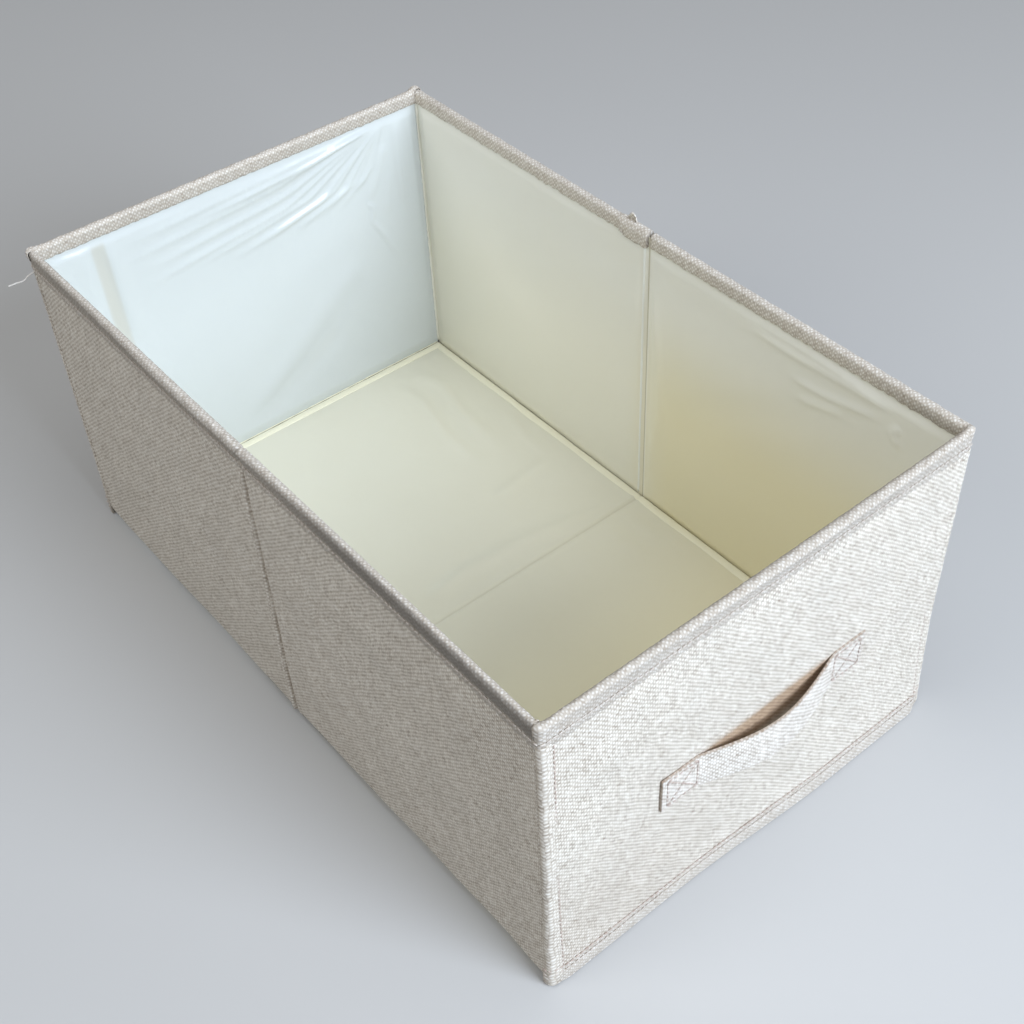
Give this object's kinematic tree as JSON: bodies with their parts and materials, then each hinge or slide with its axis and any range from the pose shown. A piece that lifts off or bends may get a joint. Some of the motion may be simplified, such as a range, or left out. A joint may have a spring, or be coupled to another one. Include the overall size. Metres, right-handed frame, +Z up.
{
  "type": "fabric storage box",
  "caption": "Open rectangular storage box of linen-look cloth over stiff boards, film lined, with a strap handle on one end; walls and floor fold flat.",
  "frame": {"origin": "centre of the underside of the floor panel, on the plane the box stands on", "axes": "+Z up, Y along the length with the handle end wall at -Y, X across the width"},
  "size_m": [0.2808, 0.4677, 0.21],
  "materials": {
    "greyboard": "matt grey cardboard",
    "liner_film": "satin cream film with soft wrinkles",
    "binding_tape": "woven linen-look tape",
    "floor_tape": "cream edge tape",
    "under_cloth": "plain thin cloth",
    "seam_roll": "stitched cloth roll",
    "strap_linen": "woven linen-look strap",
    "welt_linen": "rolled linen-look cloth",
    "outer_linen": "plain-woven linen-look cloth"
  },
  "bodies": {
    "front_wall": {"front_board": "greyboard", "front_bottom_hem": "binding_tape", "front_corner_seams": "seam_roll", "front_corner_welts": "welt_linen", "front_floor_seam": "seam_roll", "front_liner": "liner_film", "front_outer_cover": "outer_linen", "front_rim_binding": "binding_tape", "handle_sewn_ends": "strap_linen"},
    "left_front": {"left_fold_seam": "seam_roll", "left_front_board": "greyboard", "left_front_liner": "liner_film", "left_front_outer_cover": "outer_linen", "left_front_rim_binding": "binding_tape"},
    "left_back": {"left_back_board": "greyboard", "left_back_liner": "liner_film", "left_back_outer_cover": "outer_linen", "left_back_rim_binding": "binding_tape"},
    "back_wall": {"back_board": "greyboard", "back_bottom_hem": "binding_tape", "back_corner_seams": "seam_roll", "back_corner_welts": "welt_linen", "back_floor_seam": "seam_roll", "back_liner": "liner_film", "back_outer_cover": "outer_linen", "back_rim_binding": "binding_tape"},
    "right_front": {"right_fold_seam": "seam_roll", "right_front_board": "greyboard", "right_front_liner": "liner_film", "right_front_outer_cover": "outer_linen", "right_front_rim_binding": "binding_tape"},
    "right_back": {"right_back_board": "greyboard", "right_back_liner": "liner_film", "right_back_outer_cover": "outer_linen", "right_back_rim_binding": "binding_tape"},
    "floor_front": {"floor_front_board": "greyboard", "floor_front_edge_tape": "floor_tape", "floor_front_liner": "liner_film", "floor_front_under_cover": "under_cloth"},
    "floor_back": {"floor_back_board": "greyboard", "floor_back_edge_tape": "floor_tape", "floor_back_liner": "liner_film", "floor_back_under_cover": "under_cloth"},
    "handle": {"handle_strap": "strap_linen"}
  },
  "joints": [
    {"name": "wall_fold", "type": "hinge", "parent": "front_wall", "child": "left_front", "pos_m": [-0.14, -0.226, 0], "axis": [0, 0, 1], "range_deg": [0, 88]},
    {"name": "left_mid_fold", "type": "hinge", "parent": "left_front", "child": "left_back", "pos_m": [-0.136, 0, 0], "axis": [0, 0, 1], "range_deg": [-176, 0]},
    {"name": "back_left_corner_fold", "type": "hinge", "parent": "left_back", "child": "back_wall", "pos_m": [-0.14, 0.226, 0], "axis": [0, 0, 1], "range_deg": [0, 88]},
    {"name": "front_right_corner_fold", "type": "hinge", "parent": "front_wall", "child": "right_front", "pos_m": [0.14, -0.226, 0], "axis": [0, 0, 1], "range_deg": [-88, 0]},
    {"name": "right_mid_fold", "type": "hinge", "parent": "right_front", "child": "right_back", "pos_m": [0.136, 0, 0], "axis": [0, 0, 1], "range_deg": [0, 176]},
    {"name": "floor_front_fold", "type": "hinge", "parent": "front_wall", "child": "floor_front", "pos_m": [0, -0.226, 0.004], "axis": [1, 0, 0], "range_deg": [0, 88]},
    {"name": "floor_crease_fold", "type": "hinge", "parent": "floor_front", "child": "floor_back", "pos_m": [0, 0, 0], "axis": [1, 0, 0], "range_deg": [-176, 0]},
    {"name": "handle_lift", "type": "hinge", "parent": "front_wall", "child": "handle", "pos_m": [0.004, -0.2299, 0.1095], "axis": [-1, 0, 0], "range_deg": [0, 60]}
  ],
  "couplings": [
    {"joint": "left_mid_fold", "follows": "wall_fold", "ratio": -2},
    {"joint": "back_left_corner_fold", "follows": "wall_fold", "ratio": 1},
    {"joint": "front_right_corner_fold", "follows": "wall_fold", "ratio": -1},
    {"joint": "right_mid_fold", "follows": "wall_fold", "ratio": 2},
    {"joint": "floor_front_fold", "follows": "wall_fold", "ratio": 1},
    {"joint": "floor_crease_fold", "follows": "wall_fold", "ratio": -2}
  ]
}
